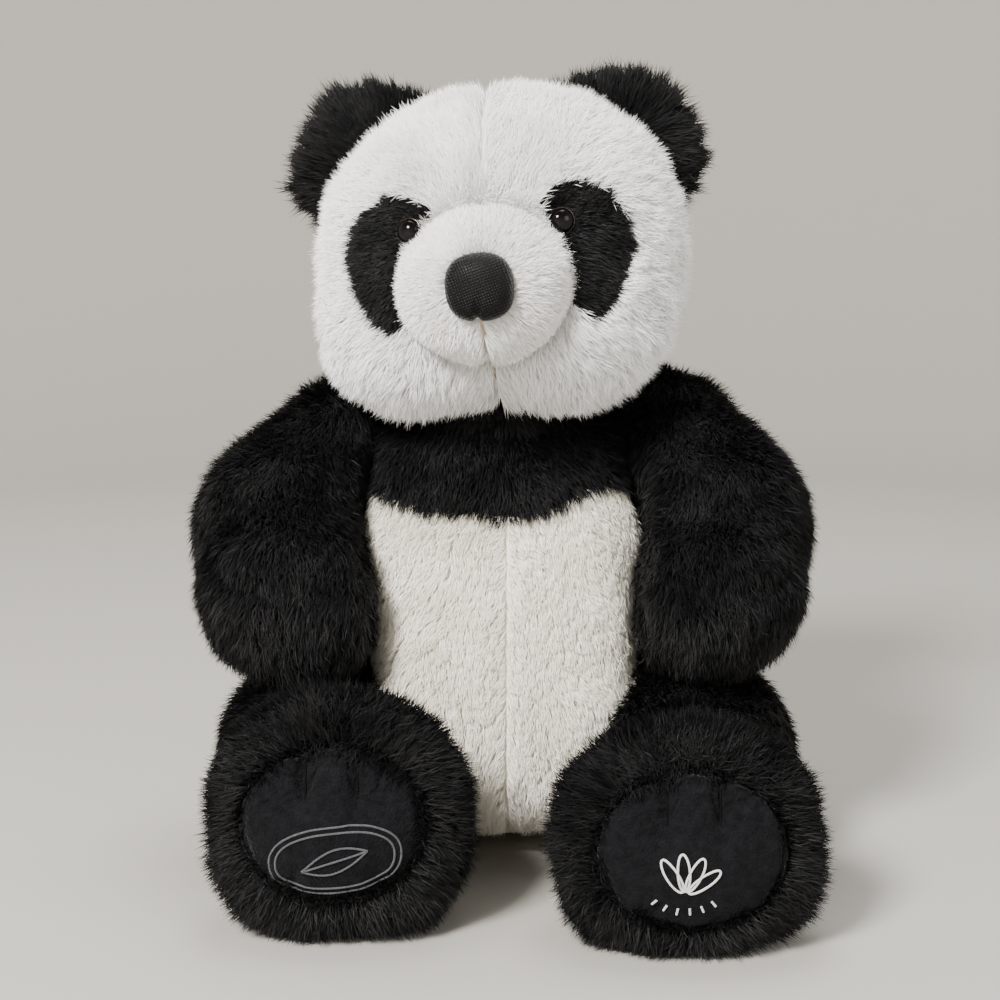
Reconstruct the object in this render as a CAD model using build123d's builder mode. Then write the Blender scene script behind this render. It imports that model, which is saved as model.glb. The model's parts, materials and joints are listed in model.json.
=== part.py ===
"""Seated plush panda: sewn fabric panels around separate bodies of stuffing, joined at the seams.

Frame: the origin is the middle of the seat panel's underside, +Z is up, and the panda faces -Y,
so its own left side is +X. Every size is in millimetres. Outer surfaces stand for the middle of
the fur's pile. Covers are closed-wall shells, and each stuffing body fills its cover.
"""

import os

from build123d import *

os.makedirs("parts", exist_ok=True)

# ---------------------------------------------------------------- driving dimensions
COVER = 2.0  # backing cloth and the dense base of the pile
GAP = 0.6  # clearance between pieces that move on each other
THREAD = 0.7  # radius of the sewing and embroidery threads
SIDES = {"left": 1, "right": -1}

# Torso and head are turned about Z. Each side profile is two arcs, given as
# (radius, height) points: start, on the first arc, joint, on the second arc, end.
# The torso is a pear with flat flanks for the arms.
TORSO_PROFILE = [(60, 0), (82, 24), (89, 70), (78, 138), (46, 205)]
SEAT_RIM = 12
BELLY_TOP = 172
BACK_YOKE_BOTTOM = 118
FLANK = 60.4
FLANK_BOX = (-130, 46, 85)  # front, back and bottom of the space that each arm takes

# Head: a round form, fuller at the cheeks, turned a little to its right and tilted.
HEAD_CENTRE = (0, -31, 293)
HEAD_YAW, HEAD_ROLL = -4.5, -4.0
HEAD_PROFILE = [(36, -76), (73, -50), (86, -4), (66, 51), (10, 76)]
FACE_BACK = 6  # where the face panels end and the back of the head begins

MUZZLE_CENTRE, MUZZLE_RADIUS = (0, -72, -14), 36.5
NOSE_CENTRE, NOSE_RADIUS = (0, -101, -13), 14
MOUTH_ANGLES = (-23, -62)  # degrees below the muzzle's middle where the mouth seam runs

EYE_OFFSET, EYE_HEIGHT = 33.5, 12
EYE_RADIUS, SHANK_RADIUS, SHANK_LENGTH = 6.0, 2.0, 13.0
WASHER_RADIUS, WASHER_THICK = 8.0, 1.6
EYE_SEAT = 3.4  # from the dome's flat back to the washer, through the cloth
# Outline of the left eye patch, as offsets from the eye along the face.
PATCH_OUTLINE = [(-6, 13), (8, 17), (24, 4), (28, -14), (20, -34), (9, -43), (6, -22), (-4, 0)]

EAR_LEAN, EAR_REACH = 53.0, 75.0
EAR_HALF_WIDTH, EAR_HEIGHT, EAR_THICK = 36.0, 32.0, 11.0
EAR_SETBACK = 8.0
EAR_GAP = 2.0

# Neck: a ball of stuffing in the head's socket, with a plug down into the torso.
NECK_PIVOT = (0, -18, 232)
NECK_BALL, NECK_PLUG, NECK_PLUG_DEPTH = 27.0, 14.0, 18.0
TORSO_TOP = TORSO_PROFILE[-1][1]

# Arms: stations of (point, radius) for the left arm, from the shoulder to the paw.
ARM_STATIONS = [((76, -5, 183), 43.5), ((102, -38, 150), 47), ((99, -62, 133), 43)]
ARM_SEAM = 88

# Legs: each is a thigh along the ground and an upright foot with a flat sole.
HIP, HIP_RADIUS = (64, -12, 42), 41.5
KNEE_Y, KNEE_RADIUS = -66, 41.5
KNEE_X = {"left": 93, "right": 87}
SOLE_POINT = {"left": (82, -188), "right": (73, -172)}
ANKLE_SETBACK, ANKLE_RADIUS = 44, 40
ANKLE_SEAM = 32  # from the sole back to the seam between the foot and leg covers
FOOT_HALF_WIDTH, FOOT_HALF_HEIGHT, FOOT_DEPTH, FOOT_ROUND = 54, 50, 50, 14
FOOT_LIFT = 48
SOLE_HALF_WIDTH, SOLE_HALF_HEIGHT = 38, 33

TAIL_CENTRE, TAIL_RADIUS = (0, 90, 52), 24


# ---------------------------------------------------------------- shape helpers
def save(piece, name, place=None):
    """Put a finished piece in its place, label it and write it as its own node."""
    if place is not None:
        piece = piece.moved(place)
    piece.label = name
    export_step(piece, f"parts/{name}.step")
    return piece


def side_at(profile, height):
    """Radius of a turned form at a height and the side's direction there, found by halving along the arc."""
    points = profile[2:] if height > profile[2][1] else profile[:3]
    arc = ThreePointArc(*points, mode=Mode.PRIVATE)
    low, high = 0.0, 1.0
    for _ in range(40):
        middle = (low + high) / 2
        if (arc @ middle).Y < height:
            low = middle
        else:
            high = middle
    return (arc @ low).X, arc % low


def turned_form(profile, inset=0.0):
    """A form turned about Z from its side profile, shrunk about its middle by the inset."""
    bottom, top = profile[0][1], profile[-1][1]
    with BuildPart() as form:
        with BuildSketch(Plane.XZ):
            with BuildLine():
                lower = ThreePointArc(*profile[:3])
                upper = ThreePointArc(*profile[2:])
                Polyline(upper @ 1, (0, top), (0, bottom), lower @ 0)
            make_face()
        revolve(axis=Axis.Z)
        scale(by=1 - 2 * inset / (top - bottom), about=(0, 0, (top + bottom) / 2))
    return form.part


def ball(centre, radius):
    """A plain sphere."""
    with BuildPart() as sphere:
        with Locations(centre):
            Sphere(radius)
    return sphere.part


def limb(stations, inset=0.0):
    """Balls at the stations, joined by cones: a stuffed tube with a round end."""
    with BuildPart() as tube:
        for point, radius in stations:
            with Locations(point):
                Sphere(radius - inset)
        for (start, wide), (end, narrow) in zip(stations, stations[1:]):
            run = Vector(end) - Vector(start)
            along = Plane(origin=start, z_dir=run)
            taper = (wide - narrow) / run.length
            ease = (1 - taper**2) ** 0.5
            shift_a, shift_b = (wide - inset) * taper, (narrow - inset) * taper
            with BuildSketch(along.offset(shift_a)):
                Circle((wide - inset) * ease)
            with BuildSketch(along.offset(run.length + shift_b)):
                Circle((narrow - inset) * ease)
            loft(ruled=True)
    return tube.part


def shell(outer, inner):
    """The cover between an outer form and its inset copy."""
    with BuildPart() as wall:
        add(outer)
        add(inner, mode=Mode.SUBTRACT)
    return wall.part


def cut(piece, *tools):
    """The piece with the tools' shapes taken out of it."""
    with BuildPart() as rest:
        add(piece)
        add(tools, mode=Mode.SUBTRACT)
    return rest.part


def half(piece, plane):
    """The side of the piece that the plane's normal points to."""
    with BuildPart() as kept:
        add(piece)
        split(bisect_by=plane, keep=Keep.TOP)
    return kept.part


def facing(x=0.0, y=0.0, z=0.0, towards=(0, 0, 1)):
    """A cutting plane through a point."""
    return Plane(origin=(x, y, z), z_dir=towards)


def upright(x, y, z, sense=1):
    """A drawing plane with X across the body, extruding backwards (1) or forwards (-1)."""
    return Plane(origin=(x, y, z), x_dir=(1, 0, 0), z_dir=(0, sense, 0))


# ---------------------------------------------------------------- legs
def foot_block(side, inset=0.0):
    """The upright oval foot: flat sole in front, flat underside on the ground."""
    sole_x, sole_y = SOLE_POINT[side]
    with BuildPart() as block:
        with BuildSketch(upright(sole_x, sole_y + inset, FOOT_LIFT)):
            Ellipse(FOOT_HALF_WIDTH - inset, FOOT_HALF_HEIGHT - inset)
        extrude(amount=FOOT_DEPTH - 2 * inset)
        fillet(block.edges(), radius=FOOT_ROUND - inset)
    return block.part


def leg_form(side, inset=0.0):
    """Thigh and foot in one, standing on the ground, built on the left side."""
    sole_x, sole_y = SOLE_POINT[side]
    stations = [
        (HIP, HIP_RADIUS),
        ((KNEE_X[side], KNEE_Y, HIP[2]), KNEE_RADIUS),
        ((sole_x, sole_y + ANKLE_SETBACK, HIP[2]), ANKLE_RADIUS),
    ]
    with BuildPart() as leg:
        add(limb(stations, inset))
        add(foot_block(side, inset))
        split(bisect_by=facing(z=inset), keep=Keep.TOP)
    return leg.part


def sole_disc(side):
    """The bare fleece sole, let into the front of the foot."""
    sole_x, sole_y = SOLE_POINT[side]
    with BuildPart() as sole:
        with BuildSketch(upright(sole_x, sole_y, FOOT_LIFT)):
            Ellipse(SOLE_HALF_WIDTH, SOLE_HALF_HEIGHT)
        extrude(amount=COVER)
    return sole.part


def toe_stitches(side):
    """Two threads that tuck the top of the sole into toes."""
    sole_x, sole_y = SOLE_POINT[side]
    rise, spread = 25, 9
    with BuildPart() as stitches:
        with Locations(*[(sole_x + s * spread, sole_y - THREAD, FOOT_LIFT + rise) for s in (-1, 1)]):
            Cylinder(THREAD, 22)
    return stitches.part


def emblem_outline(side):
    """Embroidered double outline on the right sole."""
    sole_x, sole_y = SOLE_POINT[side]
    width, height, drop, spacing = 25, 15, 10, 3.2
    with BuildPart() as outline:
        for inset in (0, spacing):
            with BuildSketch(upright(sole_x, sole_y, FOOT_LIFT - drop, -1)):
                Ellipse(width - inset, height - inset)
                Ellipse(width - inset - THREAD, height - inset - THREAD, mode=Mode.SUBTRACT)
            extrude(amount=THREAD)
    return outline.part


def emblem_leaves(side):
    """Embroidered sprig on the left sole: a fan of leaves over a curved row of dashes."""
    sole_x, sole_y = SOLE_POINT[side]
    leaf_length, leaf_width, drop = 8, 2.6, 6
    with BuildPart() as sprig:
        with BuildSketch(upright(sole_x, sole_y, FOOT_LIFT - drop, -1)):
            for angle in (30, 70, 110, 150):
                with PolarLocations(leaf_length + 1.5, 1, start_angle=angle):
                    Ellipse(leaf_length, leaf_width)
            for angle in range(-130, -40, 16):
                with PolarLocations(19, 1, start_angle=angle):
                    Rectangle(THREAD, 3)
        extrude(amount=THREAD)
    return sprig.part


def make_leg(side):
    """All the pieces of one leg. The right leg is modelled on the left and mirrored over."""
    sole_x, sole_y = SOLE_POINT[side]
    outer, inner = leg_form(side), leg_form(side, COVER)
    sole = sole_disc(side)
    wall = cut(shell(outer, inner), sole)
    ankle = sole_y + ANKLE_SEAM
    bag = limb([((sole_x + x, sole_y + 27, 24), 18) for x in (-15, 15)])
    emblem = emblem_leaves if side == "left" else emblem_outline
    pieces = {
        f"leg_cover_{side}": half(wall, facing(y=ankle, towards=(0, 1, 0))),
        f"foot_cover_{side}": half(wall, facing(y=ankle, towards=(0, -1, 0))),
        f"leg_stuffing_{side}": cut(inner, bag),
        f"foot_pellet_bag_{side}": bag,
        f"sole_{side}": sole,
        f"toe_stitches_{side}": toe_stitches(side),
        f"sole_embroidery_{side}": emblem(side),
    }
    for name, piece in pieces.items():
        save(piece if side == "left" else mirror(piece, about=Plane.YZ), name)


def leg_pocket(side, margin):
    """The upright space in the torso's flank where the thigh turns as it splays, with a margin."""
    reach, height = HIP_RADIUS + margin, HIP[2] + HIP_RADIUS + margin
    sign = SIDES[side]
    beyond = 150  # past the front and side of the torso
    with BuildPart() as pocket:
        with BuildSketch(Plane.XY.offset(-1)):
            with Locations((sign * HIP[0], HIP[1])):
                Circle(reach)
                Rectangle(beyond, beyond, align=(Align.MIN if sign > 0 else Align.MAX, Align.MAX))
                Rectangle(2 * reach, beyond, align=(Align.CENTER, Align.MAX))
        extrude(amount=height + 1)
    return pocket.part


# ---------------------------------------------------------------- torso
def torso_form(inset=0.0):
    """The pear, less the flat flanks, the leg pockets and the neck's recess."""
    front, back, bottom = FLANK_BOX
    with BuildPart() as torso:
        add(turned_form(TORSO_PROFILE, inset))
        for side, sign in SIDES.items():
            box_size = (100, back - front + inset, 200)
            box_middle = (
                sign * (FLANK - inset + box_size[0] / 2),
                (front + back + inset) / 2,
                bottom - inset + box_size[2] / 2,
            )
            with Locations(box_middle):
                Box(*box_size, mode=Mode.SUBTRACT)
            add(leg_pocket(side, GAP + inset), mode=Mode.SUBTRACT)
        with Locations((NECK_PIVOT[0], NECK_PIVOT[1], TORSO_TOP)):
            Cylinder(NECK_PLUG + GAP + inset, 2 * (NECK_PLUG_DEPTH + GAP + inset), mode=Mode.SUBTRACT)
    return torso.part


def make_torso():
    """Seat, belly, chest and back panels, the stuffing with its pellet bag, and the tail."""
    outer, inner = torso_form(), torso_form(COVER)
    wall = shell(outer, inner)
    above_seat = half(wall, facing(z=SEAT_RIM))
    front = half(above_seat, facing(towards=(0, -1, 0)))
    back = half(above_seat, facing(towards=(0, 1, 0)))
    belly = half(front, facing(z=BELLY_TOP, towards=(0, 0, -1)))
    lower_back = half(back, facing(z=BACK_YOKE_BOTTOM, towards=(0, 0, -1)))

    stitches = closing_stitches()
    save(stitches, "back_closing_stitches")
    save(half(wall, facing(z=SEAT_RIM, towards=(0, 0, -1))), "seat_panel")
    save(half(front, facing(z=BELLY_TOP)), "chest_yoke")
    save(half(back, facing(z=BACK_YOKE_BOTTOM)), "upper_back_panel")
    for side, sign in SIDES.items():
        middle = facing(towards=(sign, 0, 0))
        save(half(belly, middle), f"belly_panel_{side}")
        save(cut(half(lower_back, middle), stitches), f"lower_back_panel_{side}")

    bag = limb([((x, 36, 26), 20) for x in (-18, 18)])
    save(bag, "seat_pellet_bag")
    save(cut(inner, bag), "torso_stuffing")

    tail, tail_fill = ball(TAIL_CENTRE, TAIL_RADIUS), ball(TAIL_CENTRE, TAIL_RADIUS - COVER)
    save(cut(tail, tail_fill, outer), "tail_cover")
    save(cut(tail_fill, outer), "tail_stuffing")


def closing_stitches():
    """Ladder stitches that close the back after stuffing, laid across the centre seam."""
    length, pitch, lowest, count = 5.0, 6.0, 80.0, 6
    with BuildPart() as stitches:
        for step in range(count):
            height = lowest + step * pitch
            depth, _ = side_at(TORSO_PROFILE, height)
            with Locations(Location((0, depth, height), (0, 90, 0))):
                Cylinder(THREAD, length)
    return stitches.part


# ---------------------------------------------------------------- neck
def neck_ball(margin=0.0):
    """The round top of the neck's stuffing, above the torso."""
    return half(ball(NECK_PIVOT, NECK_BALL + margin), facing(z=TORSO_TOP + GAP - margin))


def make_neck():
    """Neck stuffing and the thread that gathers the head's opening around it."""
    thread_height = TORSO_TOP + 5
    thread_ring = (NECK_BALL**2 - (NECK_PIVOT[2] - thread_height) ** 2) ** 0.5
    with BuildPart() as thread:
        with Locations((NECK_PIVOT[0], NECK_PIVOT[1], thread_height)):
            Torus(thread_ring, THREAD)
    with BuildPart() as neck:
        add(neck_ball())
        with BuildSketch(Plane(origin=(NECK_PIVOT[0], NECK_PIVOT[1], TORSO_TOP - NECK_PLUG_DEPTH))):
            Circle(NECK_PLUG)
        extrude(amount=NECK_PLUG_DEPTH + GAP)
        add(thread.part, mode=Mode.SUBTRACT)
    save(neck.part, "neck_stuffing")
    save(thread.part, "neck_gathering_thread")


# ---------------------------------------------------------------- head
HEAD_PLACE = Location(HEAD_CENTRE) * Location((0, 0, 0), (0, 0, HEAD_YAW)) * Location((0, 0, 0), (0, HEAD_ROLL, 0))


def eye_plane(sign):
    """The plane that touches the head at an eye, with its normal outwards."""
    radius, rise = side_at(HEAD_PROFILE, EYE_HEIGHT)
    depth = (radius**2 - EYE_OFFSET**2) ** 0.5
    outwards = (sign * EYE_OFFSET * rise.Y, -depth * rise.Y, -radius * rise.X)
    return Plane(origin=(sign * EYE_OFFSET, -depth, EYE_HEIGHT), z_dir=outwards)


def eye(sign):
    """A safety eye: a glossy dome with a shank through the cloth."""
    with BuildPart(eye_plane(sign)) as dome:
        Sphere(EYE_RADIUS, arc_size1=0)
        with Locations((0, 0, -SHANK_LENGTH / 2)):
            Cylinder(SHANK_RADIUS, SHANK_LENGTH)
    return dome.part


def eye_washer(sign):
    """The locking washer pushed onto the shank behind the cloth."""
    with BuildPart() as washer:
        with BuildSketch(eye_plane(sign).offset(-EYE_SEAT)):
            Circle(WASHER_RADIUS)
            Circle(SHANK_RADIUS, mode=Mode.SUBTRACT)
        extrude(amount=-WASHER_THICK)
    return washer.part


def patch_column(sign):
    """The outline of an eye patch, run through the front of the face."""
    points = [(sign * (EYE_OFFSET + x), EYE_HEIGHT + z) for x, z in PATCH_OUTLINE]
    with BuildPart() as column:
        with BuildSketch(upright(0, 0, 0, -1)):
            with BuildLine():
                Spline(*points, periodic=True)
            make_face()
        extrude(amount=HEAD_PROFILE[2][0] + COVER)
    return column.part


def mouth_thread():
    """The mouth seam's thread, laid down the muzzle's curve from under the nose."""
    x, y, z = MUZZLE_CENTRE
    first, last = MOUTH_ANGLES
    with BuildPart() as thread:
        with BuildLine(Plane(origin=(x, y, z), x_dir=(0, -1, 0), z_dir=(1, 0, 0))) as path:
            CenterArc((0, 0), MUZZLE_RADIUS, -first, first - last)
        with BuildSketch(Plane(origin=path.line @ 0, z_dir=path.line % 0)):
            Circle(THREAD)
        sweep()
    return thread.part


def ear_form(sign):
    """Half an oval standing off the head, square to its surface."""
    place = Location((0, EAR_SETBACK, 0)) * Location((0, 0, 0), (0, sign * EAR_LEAN, 0))
    with BuildPart() as ear:
        with BuildSketch(upright(0, EAR_THICK / 2, EAR_REACH, -1)):
            Ellipse(EAR_HALF_WIDTH, EAR_HEIGHT)
        extrude(amount=EAR_THICK)
        fillet(ear.edges(), radius=EAR_THICK / 3)
    return cut(place * ear.part, turned_form(HEAD_PROFILE, -EAR_GAP))


def make_head():
    """Face, back of the head, patches, eyes, muzzle, nose and mouth."""
    outer, inner = turned_form(HEAD_PROFILE), turned_form(HEAD_PROFILE, COVER)
    socket = HEAD_PLACE.inverse() * neck_ball(GAP)
    wall = cut(shell(outer, inner), socket)
    face = half(wall, facing(y=FACE_BACK, towards=(0, -1, 0)))
    save(half(wall, facing(y=FACE_BACK, towards=(0, 1, 0))), "head_back_panel", HEAD_PLACE)

    fixings = []
    for side, sign in SIDES.items():
        column, dome, washer = patch_column(sign), eye(sign), eye_washer(sign)
        fixings += [dome, washer]
        with BuildPart() as patch:
            add(face)
            add(column, mode=Mode.INTERSECT)
            add(dome, mode=Mode.SUBTRACT)
        save(patch.part, f"eye_patch_{side}", HEAD_PLACE)
        save(cut(half(face, facing(towards=(sign, 0, 0))), column, dome), f"face_panel_{side}", HEAD_PLACE)
        save(dome, f"eye_{side}", HEAD_PLACE)
        save(washer, f"eye_washer_{side}", HEAD_PLACE)
    save(cut(inner, socket, *fixings), "head_stuffing", HEAD_PLACE)

    muzzle, muzzle_fill = ball(MUZZLE_CENTRE, MUZZLE_RADIUS), ball(MUZZLE_CENTRE, MUZZLE_RADIUS - COVER)
    nose, nose_fill = ball(NOSE_CENTRE, NOSE_RADIUS), ball(NOSE_CENTRE, NOSE_RADIUS - COVER)
    thread, eyes = mouth_thread(), fixings[::2]
    save(thread, "mouth_stitch", HEAD_PLACE)
    save(cut(muzzle, muzzle_fill, outer, thread, *eyes), "muzzle_cover", HEAD_PLACE)
    save(cut(muzzle_fill, outer, thread, *eyes), "muzzle_stuffing", HEAD_PLACE)
    save(cut(nose, nose_fill, muzzle, thread), "nose_cover", HEAD_PLACE)
    save(cut(nose_fill, muzzle), "nose_stuffing", HEAD_PLACE)


def make_ears():
    """Each ear is a front and a back panel, sewn round the rim."""
    for side, sign in SIDES.items():
        form = ear_form(sign)
        save(half(form, facing(y=EAR_SETBACK, towards=(0, -1, 0))), f"ear_front_{side}", HEAD_PLACE)
        save(half(form, facing(y=EAR_SETBACK, towards=(0, 1, 0))), f"ear_back_{side}", HEAD_PLACE)


# ---------------------------------------------------------------- arms
def arm_form(inset=0.0):
    """The left arm, cut flat where it lies against the torso's flank."""
    return half(limb(ARM_STATIONS, inset), facing(x=FLANK + GAP + inset, towards=(1, 0, 0)))


def make_arms():
    """Each arm is an outer and an inner panel round its own stuffing."""
    outer, inner = arm_form(), arm_form(COVER)
    wall = shell(outer, inner)
    pieces = {
        "arm_outer_panel": half(wall, facing(x=ARM_SEAM, towards=(1, 0, 0))),
        "arm_inner_panel": half(wall, facing(x=ARM_SEAM, towards=(-1, 0, 0))),
        "arm_stuffing": inner,
    }
    for name, piece in pieces.items():
        save(piece, f"{name}_left")
        save(mirror(piece, about=Plane.YZ), f"{name}_right")


for leg_side in SIDES:
    make_leg(leg_side)
make_torso()
make_neck()
make_head()
make_ears()
make_arms()
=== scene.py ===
"""Seated plush panda: padded skins, fur, nose, eyes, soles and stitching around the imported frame.

Shapes are in millimetres in the row frame (+Z up, the panda faces -Y, its left side is +X), apart from
the head and ears, which are in the head's own turned frame. A form is a function that gives roughly the
distance of points from a surface, less than zero inside; skins and fur roots are both drawn from it.
"""

import json
import math

import bmesh
import bpy
import numpy as np
from mathutils import Matrix, Vector

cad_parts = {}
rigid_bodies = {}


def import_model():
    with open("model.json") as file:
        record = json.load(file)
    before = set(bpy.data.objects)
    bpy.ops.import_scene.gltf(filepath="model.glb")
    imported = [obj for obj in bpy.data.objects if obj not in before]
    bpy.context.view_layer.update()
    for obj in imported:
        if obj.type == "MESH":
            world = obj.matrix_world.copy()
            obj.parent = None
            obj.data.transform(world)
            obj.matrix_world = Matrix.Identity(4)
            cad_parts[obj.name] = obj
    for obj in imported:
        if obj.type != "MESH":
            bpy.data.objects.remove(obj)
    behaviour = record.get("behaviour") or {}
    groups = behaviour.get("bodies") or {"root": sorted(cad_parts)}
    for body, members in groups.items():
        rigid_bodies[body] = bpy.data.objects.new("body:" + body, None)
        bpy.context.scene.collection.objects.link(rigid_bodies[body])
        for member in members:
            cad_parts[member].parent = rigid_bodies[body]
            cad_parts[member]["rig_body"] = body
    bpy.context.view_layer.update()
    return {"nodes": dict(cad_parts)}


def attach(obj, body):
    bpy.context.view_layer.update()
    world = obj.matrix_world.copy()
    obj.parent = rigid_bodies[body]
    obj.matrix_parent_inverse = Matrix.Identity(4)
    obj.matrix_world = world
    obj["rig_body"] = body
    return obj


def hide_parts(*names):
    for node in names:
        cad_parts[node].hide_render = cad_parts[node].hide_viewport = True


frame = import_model()

MM = 0.001
SIDES = {"left": 1, "right": -1}

# The head's own frame: turned about Z and tilted about Y, with its origin in the middle of the skull.
HEAD_TURN = Matrix.Rotation(math.radians(-4.5), 4, "Z")
HEAD_TILT = Matrix.Rotation(math.radians(-4), 4, "Y")
HEAD_PLACE = Matrix.Translation((0, -31, 293)) @ HEAD_TURN @ HEAD_TILT
EYE = (33.5, 12)
EAR_LEAN = 53
NOSE = np.array((-1.5, -104.0, -13.5))
MUZZLE = np.array((-1.8, -72.0, -13.0))
SOLE = {"left": (80, -188, 48), "right": (-71, -172, 54)}
SOLE_SIZE = (38.5, 33)
TUCKS = (-11, 11)
TAIL = (0, 91, 50)


# ---------------------------------------------------------------- numbers on points
def unit(v):
    """Each row at length one."""
    return v / np.maximum(np.linalg.norm(v, axis=1, keepdims=True), 1e-9)


def lattice(cell, seed):
    """A repeatable random number from 0 to 1 for each whole-number point."""
    n = cell[..., 0] * 374761393 + cell[..., 1] * 668265263 + cell[..., 2] * 2147483647 + seed * 1442695041
    n = ((n ^ (n >> 13)) * 1274126177) & 0xFFFFFFFF
    n = ((n ^ (n >> 16)) * 2246822519) & 0xFFFFFFFF
    return ((n ^ (n >> 15)) & 0xFFFFFF) / float(0xFFFFFF)


def noise(p, size, seed=0):
    """Smooth noise from -1 to 1; size is the width of its lumps."""
    q = np.asarray(p) / size + 100
    cell = np.floor(q).astype(np.int64)
    f = q - cell
    w = f * f * (3 - 2 * f)
    total = np.zeros(len(q))
    for corner in np.ndindex(2, 2, 2):
        part = np.ones(len(q))
        for axis, far in enumerate(corner):
            part *= w[:, axis] if far else 1 - w[:, axis]
        total += part * lattice(cell + np.array(corner), seed)
    return total * 2 - 1


def tuft_centres(p, size, seed):
    """The middle of the tuft that each root belongs to: the nearest of one jittered point per cell."""
    cell = np.floor(np.asarray(p) / size + 100).astype(np.int64)
    best, nearest = np.full(len(p), 1e9), np.zeros_like(p)
    for step in np.ndindex(3, 3, 3):
        near = cell + np.array(step) - 1
        jitter = np.stack([lattice(near, seed + k) for k in (11, 23, 37)], 1)
        centre = (near - 100 + jitter) * size
        distance = ((centre - p) ** 2).sum(1)
        closer = distance < best
        best = np.where(closer, distance, best)
        nearest[closer] = centre[closer]
    return nearest


# ---------------------------------------------------------------- forms
def oval(p, centre, radii, power=2.0):
    """Ellipsoid, squarer as the power rises."""
    q = np.abs(np.asarray(p) - centre) / np.array(radii, float)
    return ((q**power).sum(1) ** (1 / power) - 1) * min(radii)


def melt(a, b, width):
    """Union with a fillet."""
    h = np.clip(0.5 + 0.5 * (b - a) / width, 0, 1)
    return b * (1 - h) + a * h - width * h * (1 - h)


def trim(a, b, width):
    """Intersection with a rounded edge."""
    return -melt(-a, -b, width)


def tube(p, start, end, r_start, r_end):
    """Tapered round bar with round ends."""
    start, end = np.array(start, float), np.array(end, float)
    run = end - start
    t = np.clip(((p - start) @ run) / (run @ run), 0, 1)
    return np.linalg.norm(p - start - t[:, None] * run, axis=1) - (r_start + (r_end - r_start) * t)


def head_form(p):
    """Skull, cheeks and muzzle, dented at the eyes, the crown seam and the chin seam."""
    across = p[:, 0] - 0.8 - p[:, 2] * 0.035
    plan = (np.abs(across / 82.5) ** 2.1 + np.abs(p[:, 1] / 80) ** 2.1) ** (1 / 2.1)
    height = p[:, 2] + 4
    upper = (plan**2.2 + np.abs(height / 76) ** 2.2) ** (1 / 2.2)
    lower = (plan**2.5 + np.abs(height / 69) ** 2.5) ** (1 / 2.5)
    skull = (np.where(height < 0, lower, upper) - 1) * 69
    for sign, reach in ((1, 31), (-1, 43)):
        skull = melt(skull, oval(p, (sign * reach, -26, -34), (36, 38, 34)), 14)
    muzzle = oval(p, MUZZLE, (37, 34, 33), 2.1)
    skull = melt(skull, muzzle, 2.0) + 1.6 * np.exp(-((muzzle / 3.0) ** 2)) * (p[:, 1] < -60)
    for sign in (1, -1):
        dent = oval(p, (sign * 34, -88, 12), (13, 12, 12))
        skull = trim(skull, -dent, 8)
    crown = np.exp(-((p[:, 0] / 3.0) ** 2)) * np.clip((p[:, 2] - 30) / 15, 0, 1) * 1.4
    chin = np.exp(-(((p[:, 0] - MUZZLE[0]) / 4.0) ** 2)) * np.clip((-40 - p[:, 2]) / 10, 0, 1)
    chin = chin * (p[:, 1] < -20) * 2.5
    return skull + crown + chin + noise(p, 22, 5) * 0.9


def ear_point(p, sign):
    """Points in the ear's own frame: across, front to back, and out from the head."""
    a = math.radians(sign * EAR_LEAN)
    q = p - np.array((0, 8, 0))
    across = q[:, 0] * math.cos(a) - q[:, 2] * math.sin(a)
    out = q[:, 0] * math.sin(a) + q[:, 2] * math.cos(a)
    return np.stack([across, q[:, 1], out], 1)


def ear_form(sign):
    """A flat, rounded ear, dished a little towards the front."""
    def form(p):
        q = ear_point(p, sign)
        q[:, 1] += (q[:, 0] / 30) ** 2 * -3.0
        return oval(q, (0, 0, 74), (32, 7.5, 29), 2.2) + noise(p, 12, 7) * 0.6

    return form


def shoulder_reach(p):
    """0 near a shoulder's hinge line, rising to 1 away from it."""
    return np.clip((np.hypot(p[:, 1] + 5, p[:, 2] - 183) - 34) / 12, 0, 1)


def chest_bulge(p):
    """1 where the upper belly fills out past the flank, just in front of each arm."""
    return shoulder_reach(p) * np.clip((p[:, 2] - 138) / 20, 0, 1) * np.clip((-p[:, 1] - 28) / 14, 0, 1)


def torso_form(p):
    """A pear-shaped torso, trimmed flat for the arms, the thighs and the floor."""
    pear = melt(oval(p, (0, 0, 64), (86, 86, 66), 2.25), oval(p, (0, -2, 124), (80, 77, 88), 2.6), 22)
    pear = melt(pear, oval(p, (0, -8, 187), (62, 51, 36), 2.7), 12)
    flank = np.abs(p[:, 0]) - np.where(p[:, 0] > 0, 60.4 + 3 * shoulder_reach(p), 60.4) - 6 * chest_bulge(p)
    flank = np.where(p[:, 2] > 88, flank, flank - (88 - p[:, 2]) * 3)
    pear = trim(pear, flank, 10)
    for sign in (1, -1):
        hip, knee, ankle = (sign * 64, -12, 42), (sign * 92, -72, 42), (sign * 84, -120, 42)
        thigh = melt(tube(p, hip, knee, 43, 43), tube(p, knee, ankle, 43, 43), 4)
        pear = trim(pear, -thigh, 5)
    pear = trim(pear, 2.5 - p[:, 2], 6)
    return pear + noise(p, 30, 9) * 1.1


def neck_form(p):
    """The padded joint between head and torso."""
    return oval(p, (0, -18, 216), (46, 44, 20), 2.2)


def tail_form(p):
    return oval(p, TAIL, (21, 24, 22), 2.1) + noise(p, 14, 3) * 0.8


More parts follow.
